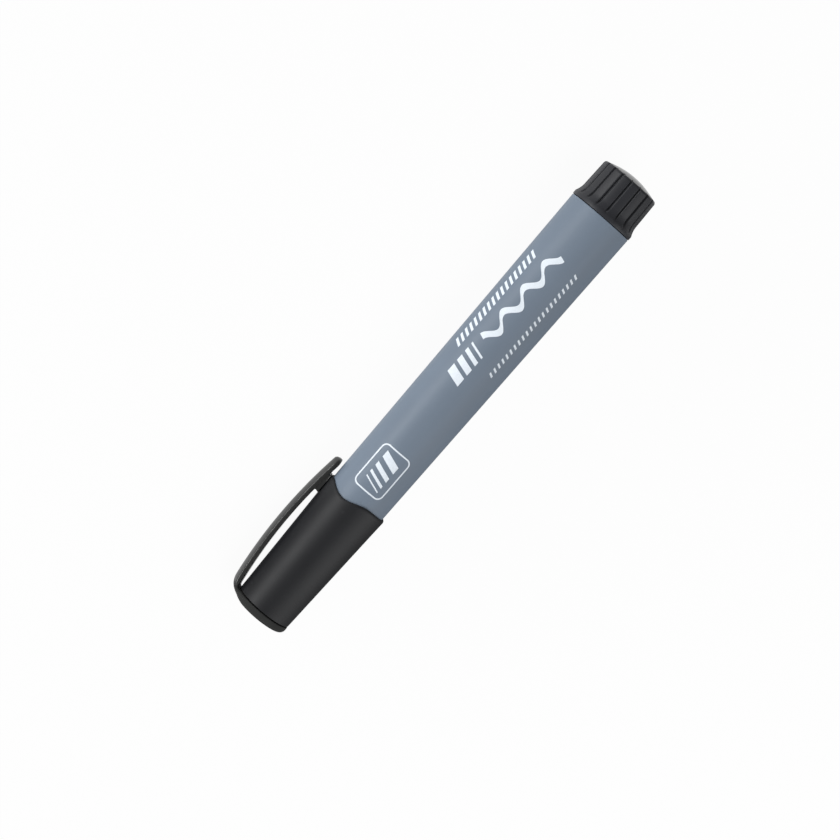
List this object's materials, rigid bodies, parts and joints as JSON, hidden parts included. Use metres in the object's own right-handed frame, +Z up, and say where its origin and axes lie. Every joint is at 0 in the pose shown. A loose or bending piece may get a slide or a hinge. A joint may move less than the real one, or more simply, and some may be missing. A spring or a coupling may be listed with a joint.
{
  "type": "permanent marker",
  "caption": "Chunky permanent marker with a tapered barrel, pull-off cap with an arched clip and scooped lip, and a grooved end plug.",
  "frame": {"origin": "on the surface that the marker lies on, under the middle of its box, with its cap on", "axes": "+X along the marker's axis towards the end plug, +Z up from the surface, and the clip on the +Y side, dipping to the surface"},
  "size_m": [0.1338, 0.0188, 0.0168],
  "materials": {
    "barrel_plastic": "satin blue-grey moulding",
    "cap_plastic": "satin black moulding",
    "clip_plastic": "half-gloss near-black moulding",
    "plug_plastic": "half-gloss black moulding",
    "holder_plastic": "satin black moulding",
    "liner_plastic": "satin dark grey moulding",
    "nib_felt": "dense felt soaked with black ink",
    "reservoir_fibre": "bonded fibre soaked with black ink",
    "film": "thin clear film",
    "print_white": "flat white print"
  },
  "bodies": {
    "barrel": {"barrel": "barrel_plastic", "ink_reservoir": "reservoir_fibre", "reservoir_wrap": "film", "nib_holder": "holder_plastic", "chisel_nib": "nib_felt"},
    "cap": {"cap_shell": "cap_plastic", "clip": "clip_plastic", "inner_cap": "liner_plastic"},
    "plug": {"end_plug": "plug_plastic"}
  },
  "joints": [
    {"name": "cap_pull", "type": "slide", "parent": "barrel", "child": "cap", "axis": [-1, 0, 0], "range_m": [0, 0.034]},
    {"name": "plug_pull", "type": "slide", "parent": "barrel", "child": "plug", "axis": [1, 0, 0], "range_m": [0, 0.012]}
  ]
}
